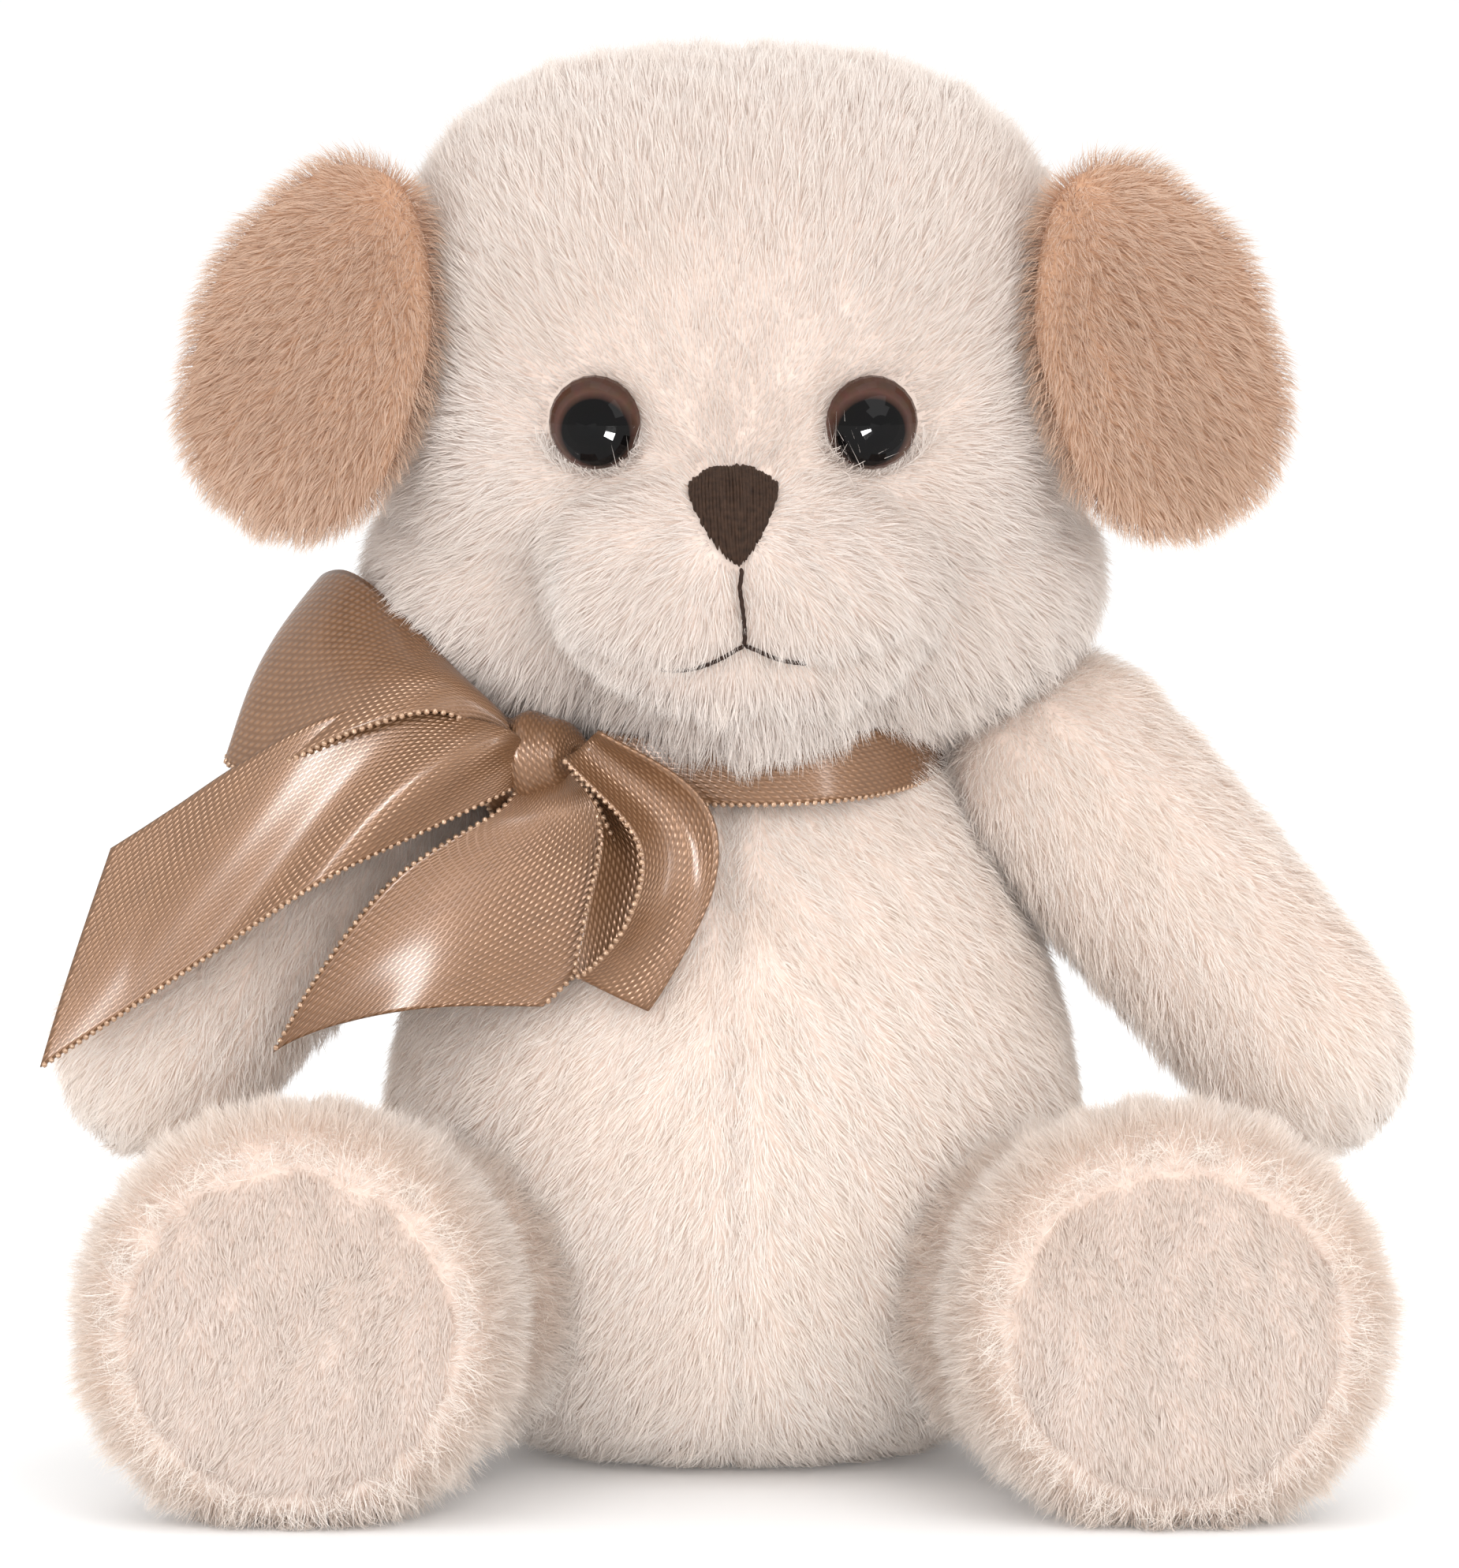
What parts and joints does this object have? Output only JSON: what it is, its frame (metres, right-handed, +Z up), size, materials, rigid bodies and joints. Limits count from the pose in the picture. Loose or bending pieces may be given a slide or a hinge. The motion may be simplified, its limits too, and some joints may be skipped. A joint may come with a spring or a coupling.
{
  "type": "plush dog",
  "caption": "Sitting plush dog with soft pile covers over stuffing, floppy tan ears, glossy eyes, a stitched nose and mouth, and a satin bow round its neck.",
  "frame": {"origin": "the middle of the flat seat that the dog sits on, on the floor below the middle of the neck", "axes": "+Z up; the dog faces -Y; +X is the dog's own left"},
  "size_m": [0.1813, 0.1291, 0.1875],
  "materials": {
    "pile_cream": "long soft pile",
    "pile_tan": "long soft pile",
    "sole_pile": "short pile",
    "fibre_fill": "polyester fibre",
    "pellets": "cloth bag of plastic pellets",
    "satin": "glossy satin",
    "eye_plastic": "polished",
    "washer_plastic": "moulded",
    "dark_thread": "embroidery thread",
    "label_satin": "woven satin"
  },
  "bodies": {
    "torso": {"body_cover_left": "pile_cream", "body_cover_right": "pile_cream", "body_stuffing": "fibre_fill", "pellet_bag": "pellets", "collar_ribbon": "satin", "bow_knot": "satin", "bow_loop_side": "satin", "bow_loop_front": "satin", "bow_tail_side": "satin", "bow_tail_front": "satin", "care_label": "label_satin"},
    "head": {"head_cover": "pile_cream", "head_stuffing": "fibre_fill", "muzzle_cover": "pile_cream", "muzzle_stuffing": "fibre_fill", "nose": "dark_thread", "philtrum_stitch": "dark_thread", "mouth_stitch_left": "dark_thread", "mouth_stitch_right": "dark_thread", "eye_left": "eye_plastic", "eye_right": "eye_plastic", "eye_washer_left": "washer_plastic", "eye_washer_right": "washer_plastic"},
    "ear_left": {"ear_left": "pile_tan"},
    "ear_right": {"ear_right": "pile_tan"},
    "arm_left": {"arm_cover_left": "pile_cream", "arm_stuffing_left": "fibre_fill"},
    "arm_right": {"arm_cover_right": "pile_cream", "arm_stuffing_right": "fibre_fill"},
    "leg_left": {"leg_cover_left": "pile_cream", "leg_stuffing_left": "fibre_fill", "sole_left": "sole_pile"},
    "leg_right": {"leg_cover_right": "pile_cream", "leg_stuffing_right": "fibre_fill", "sole_right": "sole_pile"},
    "tail": {"tail": "pile_cream"}
  },
  "joints": [
    {"name": "neck_turn", "type": "hinge", "parent": "torso", "child": "head", "pos_m": [0, 0.003, 0.099], "axis": [0, 0, 1], "range_deg": [-15, 15], "stiffness_Nm_per_rad": 0.3},
    {"name": "shoulder_left", "type": "hinge", "parent": "torso", "child": "arm_left", "pos_m": [0.0431, 0.002, 0.092], "axis": [0, -1, 0], "range_deg": [-5, 30], "stiffness_Nm_per_rad": 0.15},
    {"name": "shoulder_right", "type": "hinge", "parent": "torso", "child": "arm_right", "pos_m": [-0.0431, 0.002, 0.092], "axis": [0, 1, 0], "range_deg": [-5, 30], "stiffness_Nm_per_rad": 0.15, "deforming": ["bow_loop_side", "bow_tail_side"]},
    {"name": "hip_left", "type": "hinge", "parent": "torso", "child": "leg_left", "pos_m": [0.043, -0.027, 0.0247], "axis": [-1, 0, 0], "range_deg": [-10, 25], "stiffness_Nm_per_rad": 0.3},
    {"name": "hip_right", "type": "hinge", "parent": "torso", "child": "leg_right", "pos_m": [-0.043, -0.027, 0.0247], "axis": [-1, 0, 0], "range_deg": [-10, 25], "stiffness_Nm_per_rad": 0.3},
    {"name": "ear_flap_left", "type": "hinge", "parent": "head", "child": "ear_left", "pos_m": [0.0425, -0.01676, 0.173], "axis": [0, -1, 0], "range_deg": [-4, 45], "stiffness_Nm_per_rad": 0.01},
    {"name": "ear_flap_right", "type": "hinge", "parent": "head", "child": "ear_right", "pos_m": [-0.0425, -0.01676, 0.173], "axis": [0, 1, 0], "range_deg": [-4, 45], "stiffness_Nm_per_rad": 0.01},
    {"name": "tail_wag", "type": "hinge", "parent": "torso", "child": "tail", "pos_m": [0, 0.04127, 0.024], "axis": [0, 0, 1], "range_deg": [-20, 20], "stiffness_Nm_per_rad": 0.01}
  ]
}
